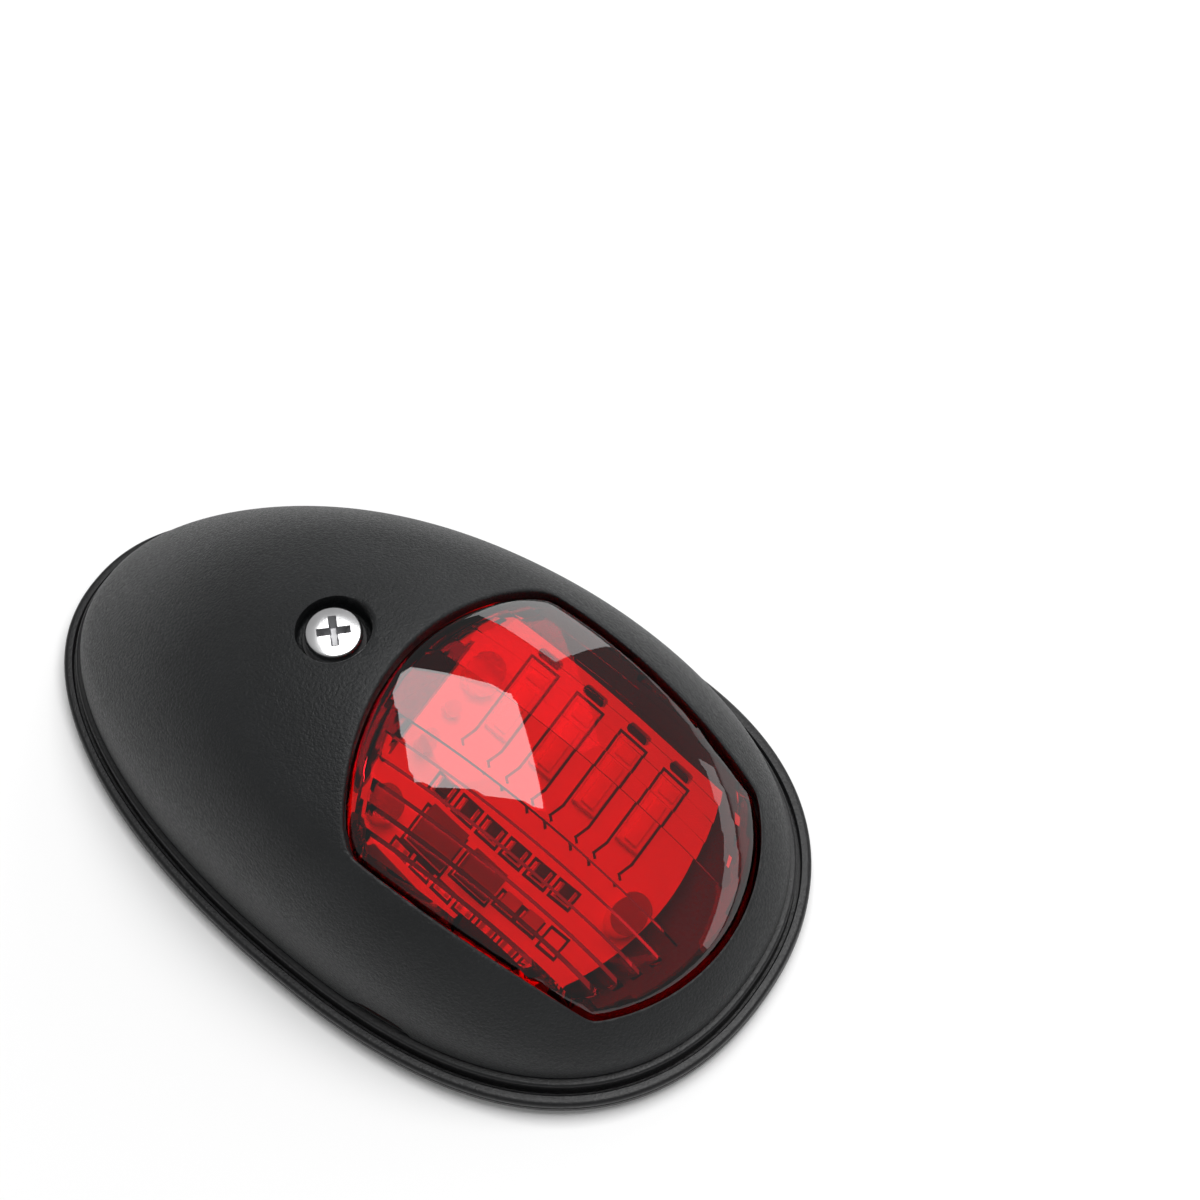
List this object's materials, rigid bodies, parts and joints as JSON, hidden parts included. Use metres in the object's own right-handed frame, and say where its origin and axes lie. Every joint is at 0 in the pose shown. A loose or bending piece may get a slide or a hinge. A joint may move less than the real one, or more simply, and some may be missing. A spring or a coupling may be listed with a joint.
{
  "type": "navigation light",
  "caption": "Side-mount port navigation light: domed black cover with a red lens on an egg-shaped base, inclined LED board, sealed cover screw and foam gasket.",
  "frame": {"origin": "middle of the gasket's underside, where the light meets the boat", "axes": "+X from the tail to the nose, where the lens is; +Z away from the mounting surface; +Y to the left of that"},
  "size_m": [0.089, 0.056, 0.0292],
  "materials": {
    "cover_plastic": "fine-grained matte black ABS",
    "base_plastic": "satin black ABS",
    "foam": "granular closed-cell foam",
    "seal_rubber": "soft matte rubber",
    "red_lens": "clear glossy red polycarbonate",
    "stainless": "bright stainless steel",
    "brass": "turned brass",
    "board_white": "white solder mask",
    "led_white": "white moulded package",
    "led_phosphor": "silicone phosphor",
    "chip_black": "black epoxy",
    "capacitor_tan": "ceramic",
    "solder_tin": "solder"
  },
  "bodies": {
    "base": {"foam_gasket": "foam", "base_plate": "base_plastic", "cover_seal": "seal_rubber", "thread_insert": "brass", "led_board": "board_white", "led_packages": "led_white", "led_emitters": "led_phosphor", "resistors": "chip_black", "driver_chip": "chip_black", "polarity_diode": "chip_black", "capacitors": "capacitor_tan", "lead_terminals": "solder_tin", "board_screws": "stainless", "cable_grommet": "seal_rubber"},
    "cover": {"cover": "cover_plastic", "lens": "red_lens", "lens_seal": "seal_rubber", "retaining_ring": "stainless"},
    "screw_washer": {"screw_washer": "seal_rubber"},
    "cover_screw": {"cover_screw": "stainless"}
  },
  "joints": [
    {"name": "cover_lift", "type": "slide", "parent": "base", "child": "cover", "axis": [0, 0, 1], "range_m": [0, 0.03]},
    {"name": "screw_rise", "type": "slide", "parent": "cover", "child": "screw_washer", "axis": [0, 0, 1], "range_m": [0, 0.007]},
    {"name": "screw_turn", "type": "hinge", "parent": "screw_washer", "child": "cover_screw", "pos_m": [-0.0099, 0, 0.02], "axis": [0, 0, 1], "range_deg": [0, 5041]}
  ],
  "couplings": [
    {"joint": "screw_turn", "follows": "screw_rise", "rad_per_m": 12566}
  ]
}
